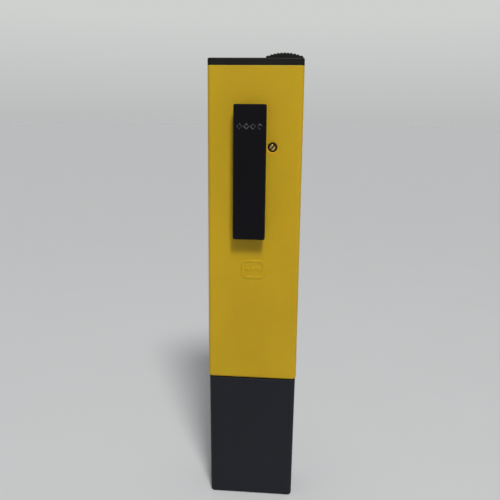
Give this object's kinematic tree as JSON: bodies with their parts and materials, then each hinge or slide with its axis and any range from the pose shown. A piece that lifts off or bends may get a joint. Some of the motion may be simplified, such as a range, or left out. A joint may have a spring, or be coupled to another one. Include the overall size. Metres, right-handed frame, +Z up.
{
  "type": "digital ph meter",
  "caption": "Pen-type digital pH meter: flat yellow case, black top cover with ribbed power slider, pocket clip, glass electrode under a push-on protective cap.",
  "frame": {"origin": "centre of the protective cap's flat bottom face, on which the meter stands", "axes": "+Z up along the meter, +Y towards the display side, -Y towards the pocket clip, +X towards the trimmer and power slider"},
  "size_m": [0.031, 0.0227, 0.1568],
  "materials": {
    "case_yellow": "satin moulded ABS, fine spark texture",
    "cover_black": "satin moulded ABS",
    "clip_black": "satin moulded ABS",
    "cap_black": "matt moulded ABS",
    "cell_steel": "nickel-plated steel can",
    "contact_nickel": "nickel-plated spring strip",
    "board_green": "glass-epoxy board with solder mask",
    "screw_steel": "zinc-plated steel",
    "chip_epoxy": "moulded epoxy",
    "resistor_black": "glass-coated ceramic",
    "capacitor_tan": "fired ceramic",
    "trimmer_blue": "moulded housing",
    "rotor_brass": "turned, slotted",
    "switch_tin": "tin-plated steel shell",
    "lcd_glass": "reflective liquid crystal cell",
    "lcd_ink": "dark segments",
    "zebra_rubber": "layered silicone rubber",
    "window_clear": "clear moulded acrylic",
    "label_film": "printed polycarbonate film",
    "lead_red": "insulated wire",
    "lead_black": "insulated wire",
    "electrode_black": "moulded ABS",
    "electrode_grey": "moulded electrode body",
    "seal_epoxy": "potting resin",
    "bulb_glass": "thin blown glass",
    "junction_ceramic": "porous ceramic",
    "silver": "chlorided silver",
    "ring_rubber": "nitrile rubber",
    "sponge": "open-cell storage sponge"
  },
  "bodies": {
    "meter": {"battery_bridge": "contact_nickel", "battery_contact_negative": "contact_nickel", "battery_contact_positive": "contact_nickel", "battery_leads": "lead_red", "chip_capacitors": "capacitor_tan", "chip_resistors": "resistor_black", "converter_chip": "chip_epoxy", "display_window": "window_clear", "electrode_guard": "electrode_grey", "electrode_holder": "electrode_black", "electrode_leads": "lead_black", "electrode_seal": "seal_epoxy", "electrode_tube": "electrode_grey", "front_label": "label_film", "front_shell": "case_yellow", "glass_bulb": "bulb_glass", "lcd_digits": "lcd_ink", "lcd_frame": "cover_black", "lcd_glass": "lcd_glass", "main_pcb": "board_green", "o_ring": "ring_rubber", "op_amp_chip": "chip_epoxy", "pcb_screws": "screw_steel", "rear_shell": "case_yellow", "reference_junction": "junction_ceramic", "silver_wire": "silver", "switch_housing": "switch_tin", "top_cover": "cover_black", "trimmer_body": "trimmer_blue", "zebra_strips": "zebra_rubber"},
    "slider": {"power_slider": "cover_black", "switch_actuator": "chip_epoxy"},
    "drawer": {"battery_drawer": "cover_black", "button_cell_1": "cell_steel", "button_cell_2": "cell_steel", "button_cell_3": "cell_steel", "button_cell_4": "cell_steel"},
    "trimmer": {"trimmer_rotor": "rotor_brass"},
    "clip": {"pocket_clip": "clip_black"},
    "cap": {"protective_cap": "cap_black", "storage_sponge": "sponge"}
  },
  "joints": [
    {"name": "cap_slide", "type": "slide", "parent": "cap", "child": "meter", "axis": [0, 0, 1], "range_m": [0, 0.05]},
    {"name": "power_slide", "type": "slide", "parent": "meter", "child": "slider", "axis": [-1, 0, 0], "range_m": [0, 0.003]},
    {"name": "drawer_slide", "type": "slide", "parent": "meter", "child": "drawer", "axis": [0, 0, 1], "range_m": [0, 0.0285]},
    {"name": "trimmer_turn", "type": "hinge", "parent": "meter", "child": "trimmer", "pos_m": [0.0058, -0.0066, 0.1271], "axis": [0, -1, 0], "range_deg": [-135, 135]},
    {"name": "clip_flex", "type": "hinge", "parent": "meter", "child": "clip", "pos_m": [-0.00125, -0.00905, 0.1402], "axis": [-1, 0, 0], "range_deg": [0, 4], "stiffness_Nm_per_rad": 0.5}
  ]
}
